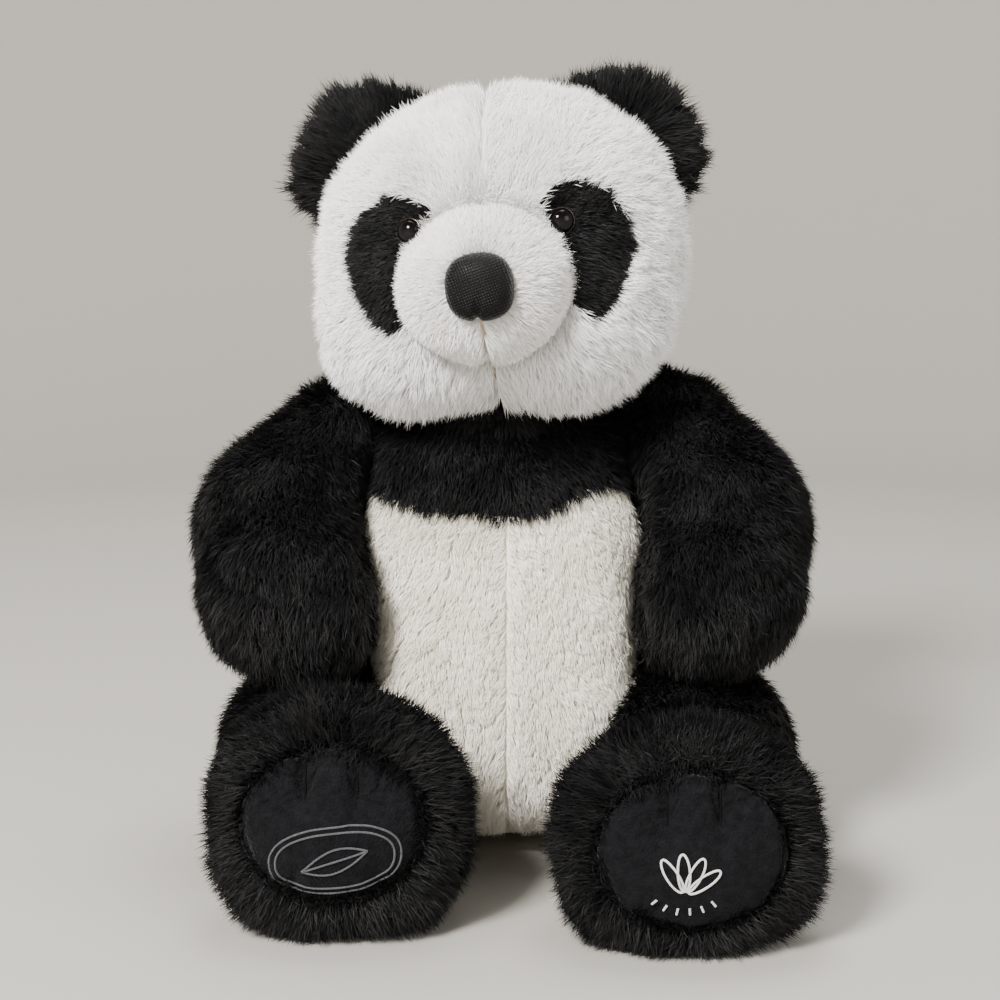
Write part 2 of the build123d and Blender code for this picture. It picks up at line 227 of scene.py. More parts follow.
def arm_form(sign):
    """A bent arm with a mitten paw; the two differ, as the right paw hangs further in."""
    def form(p):
        q = p * np.array((sign, 1, 1))
        if sign > 0:
            arm = tube(q, (78, -6, 189), (101, -30, 160), 42, 46)
            arm = melt(arm, tube(q, (101, -30, 160), (101, -60, 136), 46, 41), 8)
            arm = melt(arm, oval(q, (94, -66, 131), (33, 34, 33)), 10)
            arm = trim(arm, 62 + 3.5 * shoulder_reach(q) + 6 * chest_bulge(q) - q[:, 0], 8)
        else:
            arm = tube(q, (74, -6, 184), (99, -30, 157), 42, 46)
            arm = melt(arm, tube(q, (99, -30, 157), (100, -60, 134), 46, 41), 8)
            arm = melt(arm, oval(q, (87, -68, 129), (34, 34, 33)), 10)
            arm = trim(arm, 62 + 6 * chest_bulge(q) - 6 * np.clip((-q[:, 1] - 76) / 10, 0, 1) - q[:, 0], 8)
        crease = q[:, 2] - 158 - (q[:, 1] + 60) * 0.45
        fold = np.exp(-((crease / 5.5) ** 2)) * np.clip((-q[:, 1] - 52) / 26, 0, 1)
        return arm + fold * 2.2 + noise(p, 26, 13) * 1.3

    return form


def leg_form(side):
    """Thigh, shin and upright foot, hollowed a little where the sole pad is sewn in."""
    sign = SIDES[side]
    x, y, z = SOLE[side]
    knee = (93 if sign > 0 else -87, -66, 43)
    top = 89 if sign > 0 else 97

    def form(p):
        leg = melt(tube(p, (sign * 64, -12, 42), knee, 39, 41), tube(p, knee, (x, y + 46, 44), 41, 38), 8)
        leg = melt(leg, oval(p, (95 if sign > 0 else -88, -52, 50), (43, 46, 42), 2.4), 12)
        foot = oval(p, (x, y + 27, top / 2), (50.5, 27, top / 2 + 1), 2.5)
        leg = melt(leg, foot, 7)
        leg = trim(leg, 2.5 - p[:, 2], 7)
        under_sole = ((p[:, 0] - x) / SOLE_SIZE[0]) ** 2 + ((p[:, 2] - z) / SOLE_SIZE[1]) ** 2
        leg += 3.5 * np.clip((0.85 - under_sole) * 2, 0, 1) * (p[:, 1] < y + 20)
        return leg + noise(p, 28, 17) * 1.2

    return form


def gradient(form, p):
    """Outward unit normals of a form."""
    step = 0.4
    return unit(np.stack([form(p + e) - form(p - e) for e in np.eye(3) * step], 1))


# ---------------------------------------------------------------- meshes
def matrix_points(place, p):
    """Points moved by a 4 x 4 matrix."""
    m = np.array(place)
    return p @ m[:3, :3].T + m[:3, 3]


def mesh_object(name, points, faces, materials, index=None):
    """A mesh object from points in millimetres."""
    faces = np.asarray(faces, np.int32)
    mesh = bpy.data.meshes.new(name)
    mesh.vertices.add(len(points))
    mesh.vertices.foreach_set("co", (np.asarray(points) * MM).astype(np.float32).ravel())
    mesh.loops.add(faces.size)
    mesh.loops.foreach_set("vertex_index", faces.ravel())
    mesh.polygons.add(len(faces))
    mesh.polygons.foreach_set("loop_start", np.arange(0, faces.size, faces.shape[1], dtype=np.int32))
    if index is not None:
        mesh.polygons.foreach_set("material_index", np.asarray(index, np.int32))
    mesh.polygons.foreach_set("use_smooth", np.ones(len(faces), bool))
    mesh.update(calc_edges=True)
    obj = bpy.data.objects.new(name, mesh)
    bpy.context.scene.collection.objects.link(obj)
    for material in materials:
        mesh.materials.append(material)
    return obj


def wrap(form, centre, detail=6, reach=260.0):
    """A closed triangle mesh that closes in on a form from all round a middle point."""
    bm = bmesh.new()
    bmesh.ops.create_icosphere(bm, subdivisions=detail, radius=1.0)
    directions = np.array([v.co for v in bm.verts])
    faces = np.array([[v.index for v in f.verts] for f in bm.faces])
    bm.free()
    centre = np.array(centre, float)
    distance = np.full(len(directions), float(reach))
    for _ in range(90):
        gap = form(centre + directions * distance[:, None])
        distance = np.maximum(distance - gap * 0.6, 0.5)
    return centre + directions * distance[:, None], faces


def ground(p, lowest=0.6):
    """Points kept just above the surface that the panda sits on."""
    p[:, 2] = np.maximum(p[:, 2], lowest)
    return p


def coordinates(mesh):
    """A mesh's vertices, in millimetres."""
    co = np.empty(len(mesh.vertices) * 3)
    mesh.vertices.foreach_get("co", co)
    return co.reshape(-1, 3) / MM


def puff(obj, held, pressure, steps=20, cap=6.0):
    """Fill a sewn piece from behind by a cloth simulation, held at its seams, and keep the result."""
    rest = coordinates(obj.data)
    seams = obj.vertex_groups.new(name="seams")
    seams.add([int(i) for i in np.flatnonzero(held)], 1.0, "REPLACE")
    cloth = obj.modifiers.new("Cloth", "CLOTH")
    fabric = cloth.settings
    fabric.quality, fabric.mass = 6, 0.05
    fabric.tension_stiffness = fabric.compression_stiffness = 8
    fabric.shear_stiffness, fabric.bending_stiffness = 5, 0.02
    fabric.use_pressure, fabric.uniform_pressure_force = True, pressure
    fabric.vertex_group_mass = "seams"
    fabric.effector_weights.gravity = 0
    fabric.shrink_min = -0.12
    cloth.point_cache.frame_start, cloth.point_cache.frame_end = 1, steps
    for moment in range(1, steps + 1):
        bpy.context.scene.frame_set(moment)
    moved = coordinates(obj.evaluated_get(bpy.context.evaluated_depsgraph_get()).data)
    step = moved - rest
    length = np.linalg.norm(step, axis=1, keepdims=True)
    result = rest + step * np.minimum(1, cap / np.maximum(length, 1e-6))
    obj.modifiers.clear()
    bpy.context.scene.frame_set(1)
    obj.data.vertices.foreach_set("co", (result * MM).astype(np.float32).ravel())
    obj.data.update()
    return result


def skin(name, form, centre, body, materials, zones=None, place=None, nodes=(),
         detail=6):
    """A padded skin round a form, standing for CAD nodes; its points and faces are returned for its fur."""
    points, faces = wrap(form, centre, detail)
    index = zones(points[faces].mean(1)) if zones else None
    world = points if place is None else matrix_points(place, points)
    obj = mesh_object(name, ground(world, 1.2), faces, materials, index)
    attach(obj, body)
    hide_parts(*nodes)
    return points, faces


def scatter(surface, form, per_mm2, seed):
    """Random roots spread evenly over a skin, with outward normals from its form."""
    points, faces = surface
    a, b, c = (points[faces[:, k]] for k in range(3))
    area = np.linalg.norm(np.cross(b - a, c - a), axis=1) / 2
    rng = np.random.default_rng(seed)
    count = int(area.sum() * per_mm2)
    pick = np.searchsorted(np.cumsum(area), rng.random(count) * area.sum())
    pick = np.minimum(pick, len(faces) - 1)
    u, v = rng.random(count), rng.random(count)
    flip = u + v > 1
    u, v = np.where(flip, 1 - u, u), np.where(flip, 1 - v, v)
    p = a[pick] + u[:, None] * (b[pick] - a[pick]) + v[:, None] * (c[pick] - a[pick])
    n = gradient(form, p)
    return p - n * form(p)[:, None], n


def fur(name, surface, form, body, shades, comb, keep, per_mm2=0.9, length=10.0, lift=0.9, width=0.7,
        tuft=6.0, gather=0.4, unruly=0.25, curl=0.5, place=None, seed=1, length_at=None):
    """Tapered, bent blades on a skin: roots at random, combed along a direction and gathered into tufts."""
    p, n = scatter(surface, form, per_mm2, seed)
    chosen = keep(p, n)
    p, n = p[chosen], n[chosen]
    rng = np.random.default_rng(seed + 500)
    flow = comb(p)
    flow = flow - n * (flow * n).sum(1, keepdims=True)
    size = np.linalg.norm(flow, axis=1, keepdims=True)
    flow = flow / np.maximum(size, 1.0)
    swirl = np.stack([noise(p, 15, seed + k) for k in (1, 2, 3)], 1) * 0.45
    stray = rng.normal(size=p.shape) * unruly
    first = unit(n * lift + flow * 0.7 + swirl * 0.5 + stray * 0.6)
    second = unit(n * lift * (1 - curl) + flow + swirl + stray)
    long = length * (0.75 + 0.5 * rng.random(len(p))) * (1 + 0.18 * noise(p, 9, seed + 4))
    if length_at is not None:
        long = long * length_at(p)
    long = long[:, None]
    pull = tuft_centres(p, tuft, seed) - p
    pull = pull - n * (pull * n).sum(1, keepdims=True)
    middle = p + first * long * 0.5 + pull * gather * 0.35
    tip = middle + second * long * 0.5 + pull * gather * 0.65
    p = p - n * 0.4
    side = unit(np.cross(n, first))
    roll = rng.normal(size=len(p))[:, None] * 0.45
    side = side * np.cos(roll) + np.cross(first, side) * np.sin(roll)
    half = side * width * (0.8 + 0.4 * rng.random(len(p)))[:, None] / 2
    points = np.stack([p - half, p + half, middle - half * 0.8, middle + half * 0.8, tip], 1).reshape(-1, 3)
    base = (np.arange(len(p)) * 5)[:, None]
    faces = np.stack([base + k for k in ((1, 0, 2), (1, 2, 3), (3, 2, 4))], 1).reshape(-1, 3)
    tone = noise(p, 11, seed + 6) * 0.5 + rng.random(len(p)) * 1.3 - 0.15
    index = np.repeat(np.clip((tone * len(shades)).astype(int), 0, len(shades) - 1), 3)
    world = points if place is None else matrix_points(place, points)
    obj = mesh_object(name, ground(world), faces, shades, index)
    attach(obj, body)


# ---------------------------------------------------------------- materials
def new_material(name):
    """A new material with its nodes, its links and its main shader."""
    material = bpy.data.materials.new(name)
    material.use_nodes = True
    tree = material.node_tree
    return material, tree.nodes, tree.links, tree.nodes["Principled BSDF"]


def two_tone(nodes, dark, light, start=0.0, end=1.0):
    """A colour ramp from a dark colour to a light one."""
    ramp = nodes.new("ShaderNodeValToRGB")
    for element, position, colour in zip(ramp.color_ramp.elements, (start, end), (dark, light)):
        element.position = position
        element.color = (*colour, 1)
    return ramp


def strand_material(name, colour, roughness, sheen, sheen_roughness=0.4, specular=0.35):
    """One shade of fibre: plain values, because the shades and the fibres carry the pattern."""
    material, _, _, shader = new_material(name)
    shader.inputs["Base Color"].default_value = (*colour, 1)
    shader.inputs["Roughness"].default_value = roughness
    shader.inputs["Specular IOR Level"].default_value = specular
    shader.inputs["Sheen Weight"].default_value = sheen
    shader.inputs["Sheen Roughness"].default_value = sheen_roughness
    return material


def cloth_material(name, dark, light, scale, roughness=0.9, bump=0.3, sheen=0.2, weave=None, specular=0.3):
    """Patterned cloth: two-tone noise, a fine pile or weave in the bump, and sheen."""
    material, nodes, links, shader = new_material(name)
    where = nodes.new("ShaderNodeTexCoord")
    patches = nodes.new("ShaderNodeTexNoise")
    patches.inputs["Scale"].default_value = scale
    patches.inputs["Detail"].default_value = 5
    links.new(where.outputs["Object"], patches.inputs["Vector"])
    ramp = two_tone(nodes, dark, light, 0.35, 0.68)
    links.new(patches.outputs["Fac"], ramp.inputs["Fac"])
    links.new(ramp.outputs["Color"], shader.inputs["Base Color"])
    grain = nodes.new("ShaderNodeTexVoronoi" if weave else "ShaderNodeTexNoise")
    grain.inputs["Scale"].default_value = weave or scale * 8
    links.new(where.outputs["Object"], grain.inputs["Vector"])
    height = nodes.new("ShaderNodeBump")
    height.inputs["Strength"].default_value = bump
    height.inputs["Distance"].default_value = 0.0006
    links.new(grain.outputs["Distance" if weave else "Fac"], height.inputs["Height"])
    links.new(height.outputs["Normal"], shader.inputs["Normal"])
    rough = nodes.new("ShaderNodeMapRange")
    rough.inputs["To Min"].default_value = roughness - 0.08
    rough.inputs["To Max"].default_value = roughness + 0.06
    links.new(patches.outputs["Fac"], rough.inputs["Value"])
    links.new(rough.outputs["Result"], shader.inputs["Roughness"])
    shader.inputs["Specular IOR Level"].default_value = specular
    shader.inputs["Sheen Weight"].default_value = sheen
    shader.inputs["Sheen Roughness"].default_value = 0.4
    return material


def nose_material():
    """Dark woven cloth: two crossing sets of yarns in the bump, with a painted sheen that colours the yarns a
    little lighter where they rise.
    """
    material, nodes, links, shader = new_material("nose_cloth")
    where = nodes.new("ShaderNodeTexCoord")
    bands = []
    for turn in (20, -70):
        mapping = nodes.new("ShaderNodeMapping")
        mapping.inputs["Rotation"].default_value = (0, math.radians(turn), 0)
        wave = nodes.new("ShaderNodeTexWave")
        wave.bands_direction = "X"
        wave.inputs["Scale"].default_value = 270
        wave.inputs["Distortion"].default_value = 1.6
        wave.inputs["Detail Scale"].default_value = 2
        links.new(where.outputs["Object"], mapping.inputs["Vector"])
        links.new(mapping.outputs["Vector"], wave.inputs["Vector"])
        bands.append(wave)
    both = nodes.new("ShaderNodeMath")
    both.operation = "MULTIPLY"
    links.new(bands[0].outputs["Fac"], both.inputs[0])
    links.new(bands[1].outputs["Fac"], both.inputs[1])
    height = nodes.new("ShaderNodeBump")
    height.inputs["Strength"].default_value = 0.8
    height.inputs["Distance"].default_value = 0.0005
    links.new(both.outputs["Value"], height.inputs["Height"])
    links.new(height.outputs["Normal"], shader.inputs["Normal"])
    # Painted sheen: the ramp colours the yarn crests lighter than the hollows between them.
    ramp = two_tone(nodes, (0.002, 0.002, 0.0022), (0.008, 0.008, 0.0085))
    links.new(both.outputs["Value"], ramp.inputs["Fac"])
    links.new(ramp.outputs["Color"], shader.inputs["Base Color"])
    shader.inputs["Roughness"].default_value = 0.4
    shader.inputs["Specular IOR Level"].default_value = 0.14
    return material


def shades(name, colours, **values):
    """One strand material per colour."""
    return [strand_material(f"{name}_{k}", colour, **values) for k, colour in enumerate(colours)]


WHITE_SHADES = [(0.89, 0.88, 0.865), (0.93, 0.925, 0.92), (0.96, 0.955, 0.95)]
MUZZLE_SHADES = [(0.88, 0.86, 0.83), (0.92, 0.91, 0.89), (0.95, 0.945, 0.935)]
IVORY_SHADES = [(0.91, 0.86, 0.75), (0.95, 0.91, 0.82), (0.97, 0.94, 0.88)]
BLACK_SHADES = [(0.003, 0.003, 0.0033), (0.005, 0.005, 0.0055), (0.008, 0.008, 0.0085), (0.014, 0.0135, 0.014)]
WHITE = shades("white_pile", WHITE_SHADES, roughness=0.8, sheen=0.3)
MUZZLE_WHITE = shades("muzzle_pile", MUZZLE_SHADES, roughness=0.8, sheen=0.25)
IVORY = shades("belly_pile", IVORY_SHADES, roughness=0.8, sheen=0.25)
BLACK = shades("black_pile", BLACK_SHADES, roughness=0.6, sheen=0.0, specular=0.13)
WHITE_SKIN = cloth_material("white_backing", (0.80, 0.78, 0.75), (0.90, 0.89, 0.87), 60)
MUZZLE_SKIN = cloth_material("muzzle_backing", (0.80, 0.77, 0.73), (0.90, 0.88, 0.85), 80)
IVORY_SKIN = cloth_material("belly_backing", (0.74, 0.68, 0.57), (0.86, 0.82, 0.73), 60)
BLACK_SKIN = cloth_material("black_backing", (0.004, 0.004, 0.0045), (0.010, 0.010, 0.011), 60, sheen=0.05)

# ---------------------------------------------------------------- head
# An eye patch's outline round its eye, outwards and up; it hangs down and out towards the cheek.
PATCH = [
    (-11, 8), (-6, 12), (0, 15), (9, 15), (19, 10), (26, 1), (28, -12),
    (25, -25), (17, -38), (8, -43), (1, -34), (1, -20), (-1, -9), (-6, -1),
]


def inside(outline, x, z):
    """Which points lie inside a closed outline."""
    result = np.zeros(len(x), bool)
    for (x1, z1), (x2, z2) in zip(outline, outline[1:] + outline[:1]):
        crosses = (z1 > z) != (z2 > z)
        result ^= crosses & (x < (x2 - x1) * (z - z1) / ((z2 - z1) or 1e-9) + x1)
    return result


def on_patch(p):
    """Which head points lie in an eye patch."""
    x, z = np.abs(p[:, 0]) - EYE[0], p[:, 2] - EYE[1]
    edge = noise(p, 6, 40) * 1.2
    return inside(PATCH, x + edge, z + edge) & (p[:, 1] < -20)


def parting(across, width):
    """Sideways push of a comb where the pile parts at a seam."""
    return np.sign(across) * np.exp(-((across / width) ** 2))


def on_muzzle(p):
    """Which head points lie on the short-pile muzzle."""
    return oval(p, MUZZLE, (38, 35.5, 34.5), 2.1) < 0


def near_eye(p, radius):
    """Which head points lie within a radius of an eye."""
    x, z = np.abs(p[:, 0]) - EYE[0], p[:, 2] - EYE[1]
    return (x**2 + z**2 < radius**2) & (p[:, 1] < -40)


def head_zones(p):
    """Material index of each head point: 0 white, 1 eye patch, 2 muzzle."""
    return np.where(on_muzzle(p), 2, np.where(on_patch(p), 1, 0))


def head_comb(p):
    """Away from the nose over the face, apart at the crown seam and down the sides and back."""
    out = p - NOSE
    out[:, 1] *= 0.6
    flow = unit(out) * 0.8
    flow[:, 2] -= 0.45 * np.clip((60 - p[:, 2]) / 60, 0, 1)
    flow[:, 0] += parting(p[:, 0], 14) * np.clip((p[:, 2] - 20) / 40, 0, 1) * 0.9
    flow[:, 0] += parting(p[:, 0] - MUZZLE[0], 8) * (p[:, 2] < -40) * (p[:, 1] < 0)
    return flow


def muzzle_comb(p):
    """Away from the nose, apart at the mouth seam."""
    out = unit(p - NOSE) * 0.9
    out[:, 0] += parting(p[:, 0] - MUZZLE[0], 5) * (p[:, 2] < NOSE[2])
    return out


head_nodes = [
    "face_panel_left", "face_panel_right", "head_back_panel", "head_stuffing",
    "muzzle_cover", "muzzle_stuffing", "eye_patch_left", "eye_patch_right",
]
head = skin("head_skin", head_form, (0, -8, -6), "head", [WHITE_SKIN, BLACK_SKIN, MUZZLE_SKIN], head_zones,
            HEAD_PLACE, head_nodes, detail=7)


def short_by_eye(p):
    """Pile length round an eye: trimmed at the rim and full again a little way out."""
    x, z = np.abs(p[:, 0]) - EYE[0], p[:, 2] - EYE[1]
    away = np.sqrt(x**2 + z**2)
    return np.where(p[:, 1] < -40, np.clip(0.25 + (away - 5) / 12, 0.3, 1), 1)


def on_back_of_head(p, n):
    return ~(p[:, 1] < 2) & (p[:, 2] > -66)


def on_patch_only(p, n):
    return on_patch(p) & ~on_muzzle(p) & ~near_eye(p, 4.6)


def round_nose(p, n):
    return on_muzzle(p) & (oval(p, NOSE, (14, 14, 13)) > 0)


for side, sign in SIDES.items():
    def on_face(p, n, sign=sign):
        white = ~on_patch(p) & ~on_muzzle(p) & ~near_eye(p, 5)
        return (p[:, 1] < 2) & white & (p[:, 0] * sign > 0)

    fur(f"face_fur_{side}", head, head_form, "head", WHITE, head_comb, on_face, 2.6, 9.0,
        lift=0.75, width=0.45, tuft=6.5, gather=0.5, place=HEAD_PLACE, seed=2 + sign,
        length_at=short_by_eye)
fur("head_back_fur", head, head_form, "head", WHITE, head_comb, on_back_of_head, 1.5, 9.5,
    lift=0.75, width=0.6, tuft=6, gather=0.35, place=HEAD_PLACE, seed=8)
fur("eye_patch_fur", head, head_form, "head", BLACK, head_comb, on_patch_only, 3.2, 7,
    lift=0.75, width=0.5, tuft=4, gather=0.35, place=HEAD_PLACE, seed=4, length_at=short_by_eye)
fur("muzzle_fur", head, head_form, "head", MUZZLE_WHITE, muzzle_comb, round_nose, 3.6, 5.2,
    lift=0.85, width=0.42, tuft=4, gather=0.3, place=HEAD_PLACE, seed=5)

# ---------------------------------------------------------------- ears
for side, sign in SIDES.items():
    form = ear_form(sign)
    a = math.radians(sign * EAR_LEAN)
    middle = (math.sin(a) * 76, 8, math.cos(a) * 76)
    ear = skin(f"ear_skin_{side}", form, middle, f"ear_{side}", [BLACK_SKIN], None, HEAD_PLACE,
               [f"ear_front_{side}", f"ear_back_{side}"], detail=5)

    def ear_comb(p, sign=sign):
        q = ear_point(p, sign)
        a = math.radians(sign * EAR_LEAN)
        across = np.array((math.cos(a), 0, -math.sin(a)))
        out = np.array((math.sin(a), 0, math.cos(a)))
        return (q[:, :1] / 30) * across * 0.8 + out * np.clip((q[:, 2:] - 60) / 25, 0.3, 1)

    def clear_of_head(p, n, sign=sign):
        return ear_point(p, sign)[:, 2] > 64

    fur(f"ear_fur_{side}", ear, form, f"ear_{side}", BLACK, ear_comb, clear_of_head, 3.0, 13.5,
        lift=0.75, width=0.6, tuft=7.5, gather=0.75, place=HEAD_PLACE, seed=6 + sign)

# ---------------------------------------------------------------- nose, eyes, mouth
NOSE_CLOTH = nose_material()


def nose_form(p):
    """A rounded, padded nose with a dart sewn in its lower half."""
    q = p - NOSE
    body = oval(q, (0, 0, 0), (14.8, 11.5, 14.2), 2.5)
    dart = np.exp(-(((q[:, 0] - q[:, 2] * 0.12) / 1.5) ** 2)) * np.clip((-q[:, 2] - 1) / 9, 0, 1) * 1.4
    return body + dart + noise(p, 9, 21) * 0.35


nose_points, nose_faces = wrap(nose_form, NOSE, 6, 60)
nose = mesh_object("nose_pad", matrix_points(HEAD_PLACE, nose_points), nose_faces, [NOSE_CLOTH])
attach(nose, "head")
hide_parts("nose_cover", "nose_stuffing")


def eye_material():
    """Gloss black plastic with faint brown streaks."""
    material, nodes, links, shader = new_material("eye_gloss")
    where = nodes.new("ShaderNodeTexCoord")
    streaks = nodes.new("ShaderNodeTexNoise")
    streaks.inputs["Scale"].default_value = 900
    links.new(where.outputs["Object"], streaks.inputs["Vector"])
    ramp = two_tone(nodes, (0.0015, 0.001, 0.001), (0.004, 0.003, 0.003))
    links.new(streaks.outputs["Fac"], ramp.inputs["Fac"])
    links.new(ramp.outputs["Color"], shader.inputs["Base Color"])
    shader.inputs["Roughness"].default_value = 0.06
    shader.inputs["IOR"].default_value = 1.3
    return material


EYE_GLOSS = eye_material()
EYE_RIM = cloth_material("eye_rim_brown", (0.012, 0.006, 0.004), (0.03, 0.014, 0.008), 700,
                         roughness=0.2, bump=0.05, sheen=0, specular=0.6)


def lathe(profile, steps=48):
    """Points and faces of a profile of (radius, height) turned about Z."""
    angle = np.linspace(0, 2 * math.pi, steps, endpoint=False)
    points = np.array([(r * math.cos(t), r * math.sin(t), h) for r, h in profile for t in angle])
    faces = [
        (i * steps + j, i * steps + (j + 1) % steps, (i + 1) * steps + (j + 1) % steps, (i + 1) * steps + j)
        for i in range(len(profile) - 1)
        for j in range(steps)
    ]
    return points, faces


for side, sign in SIDES.items():
    spot = np.array([[sign * EYE[0], -120.0, EYE[1]]])
    for _ in range(80):
        spot[:, 1] += head_form(spot) * 0.5
    outwards = gradient(head_form, spot + np.array([[sign * 3, 0, 2]]))[0]
    aim = Vector(outwards * 0.6 + np.array((sign * 0.18, -0.5, 0.02))).normalized()
    turn = aim.to_track_quat("Z", "Y").to_matrix().to_4x4()
    place = HEAD_PLACE @ Matrix.Translation(Vector(spot[0]) + aim * 0.7) @ turn
    dome = [(5.6 * math.cos(t), -0.2 + 4.6 * math.sin(t)) for t in np.linspace(0, math.pi / 2 - 0.03, 14)]
    points, faces = lathe([(5.4, -3.0)] + dome + [(0.01, 4.4)])
    eye = mesh_object(f"eye_dome_{side}", matrix_points(place, points), faces, [EYE_GLOSS])
    ring = [(5.5 + 0.6 * math.cos(t), -0.1 + 0.6 * math.sin(t)) for t in np.linspace(0, 2 * math.pi, 13)]
    points, faces = lathe(ring)
    rim = mesh_object(f"eye_rim_{side}", matrix_points(place, points), faces, [EYE_RIM])
    for piece in (eye, rim):
        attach(piece, "head")
    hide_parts(f"eye_{side}", f"eye_washer_{side}")


def thread(name, points, radius, material, body, nodes=(), place=None):
    """A fine thread along points, as a mesh tube."""
    curve = bpy.data.curves.new(name + "_line", "CURVE")
    curve.dimensions = "3D"
    spline = curve.splines.new("POLY")
    world = np.asarray(points, float) if place is None else matrix_points(place, np.asarray(points, float))
    spline.points.add(len(world) - 1)
    for point, co in zip(spline.points, world):
        point.co = (*(co * MM), 1)
    curve.bevel_depth, curve.bevel_resolution, curve.use_fill_caps = radius * MM, 2, True
    holder = bpy.data.objects.new(name + "_line", curve)
    bpy.context.scene.collection.objects.link(holder)
    bpy.context.view_layer.update()
    mesh = bpy.data.meshes.new_from_object(holder)
    bpy.data.objects.remove(holder)
    obj = bpy.data.objects.new(name, mesh)
    bpy.context.scene.collection.objects.link(obj)
    mesh.materials.clear()
    mesh.materials.append(material)
    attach(obj, body)
    if nodes:
        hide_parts(*nodes)
    return obj


THREAD_TAN = cloth_material("mouth_thread", (0.35, 0.27, 0.18), (0.55, 0.45, 0.32), 900, bump=0.4)
THREAD_GREY = cloth_material("grey_thread", (0.045, 0.045, 0.052), (0.09, 0.09, 0.10), 1500,
                             roughness=0.5, bump=0.5)
THREAD_WHITE = cloth_material("white_thread", (0.62, 0.61, 0.60), (0.85, 0.84, 0.82), 1500,
                              roughness=0.5, bump=0.5)
THREAD_BLACK = cloth_material("black_thread", (0.002, 0.002, 0.002), (0.005, 0.005, 0.005), 1500,
                              bump=0.5, sheen=0, specular=0.1)


def on_surface(form, x, z, y_from=-200.0):
    """The front of a form at x and z."""
    spots = np.stack([x, np.full(len(x), y_from), z], 1)
    for _ in range(120):
        spots[:, 1] += form(spots) * 0.6
    return spots


mouth_z = np.linspace(-27, -62, 26)
mouth_x = MUZZLE[0] + np.sin(mouth_z * 0.5) * 0.5 - (mouth_z + 27) * 0.03
mouth = on_surface(head_form, mouth_x, mouth_z) + np.array((0, -0.5, 0))
thread("mouth_seam", mouth, 0.55, THREAD_TAN, "head", ["mouth_stitch"], place=HEAD_PLACE)

# ---------------------------------------------------------------- torso and neck
def belly_top(x):
    """The height of the belly's upper seam, which rises to a corner on each side."""
    right = 9 * np.clip(-x / 62, 0, 1) ** 3
    left = 12 * np.exp(-(((x - 48) / 17) ** 2)) - 8 * np.clip((x - 60) / 8, 0, 1)
    return 172 + right + left


def on_belly(p):
    """Which torso points lie on the ivory belly."""
    edge = noise(p, 9, 51) * 1.5
    return (p[:, 1] < -8) & (p[:, 2] < belly_top(p[:, 0]) + edge)


def torso_zones(p):
    """Material index of each torso point: 0 black yoke, 1 ivory belly, 2 white lower back."""
    back_white = (p[:, 1] >= -8) & (p[:, 2] < 118)
    return np.where(on_belly(p), 1, np.where(back_white, 2, 0))


ELSEWHERE = ("tail", "back_closing")
on_torso = [name for name, node in frame["nodes"].items() if node["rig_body"] == "torso"]
torso_nodes = [name for name in on_torso if not name.startswith(ELSEWHERE)]
torso = skin("torso_skin", torso_form, (0, 0, 100), "torso", [BLACK_SKIN, IVORY_SKIN, WHITE_SKIN], torso_zones,
             None, torso_nodes, detail=7)


def down_comb(p):
    """Down the body, spreading a little."""
    flow = np.zeros_like(p)
    flow[:, 2] = -1.0
    flow[:, 0] = p[:, 0] / 140
    flow[:, 1] = p[:, 1] / 160
    return flow


def belly_comb(p):
    """Down the belly, apart at its middle seam."""
    flow = down_comb(p) * 0.8
    flow[:, 0] += parting(p[:, 0] - 3, 7) * 0.6
    return flow


for side, sign in SIDES.items():
    def on_belly_half(p, n, sign=sign):
        return on_belly(p) & (p[:, 0] * sign > 0) & (p[:, 2] > 4) & (n[:, 2] > -0.8)

    fur(f"belly_fur_{side}", torso, torso_form, "torso", IVORY, belly_comb, on_belly_half, 2.7, 5.2,
        lift=0.75, width=0.42, tuft=6, gather=0.35, unruly=0.18, seed=20)


def on_yoke(p, n):
    return torso_zones(p) == 0


def on_lower_back(p, n):
    return (torso_zones(p) == 2) & (p[:, 2] > 4) & (oval(p, TAIL, (19, 26, 20)) > 0)


def below_head(p, n):
    return n[:, 2] < 0.6


def tail_comb(p):
    return unit(p - np.array((0, 60, 70)))


def clear_of_back(p, n):
    return p[:, 1] > 78


fur("chest_fur", torso, torso_form, "torso", BLACK, down_comb, on_yoke, 1.6, 9.5, lift=0.8, width=0.6, seed=21)
fur("back_fur", torso, torso_form, "torso", WHITE, down_comb, on_lower_back, 1.0, 9.5, lift=0.8,
    seed=22)

neck = skin("neck_skin", neck_form, (0, -18, 216), "neck", [BLACK_SKIN],
            nodes=["neck_stuffing", "neck_gathering_thread"], detail=5)
fur("neck_fur", neck, neck_form, "neck", BLACK, down_comb, below_head, 0.8, 7, seed=23)

tail = skin("tail_skin", tail_form, TAIL, "torso", [WHITE_SKIN],
            nodes=["tail_cover", "tail_stuffing"], detail=5)
fur("tail_fur", tail, tail_form, "torso", WHITE, tail_comb, clear_of_back, 1.6, 9, seed=24)

# ---------------------------------------------------------------- arms
def arm_comb(p):
    flow = np.zeros_like(p)
    flow[:, 2] = -1.0
    flow[:, 1] = -0.35
    return flow


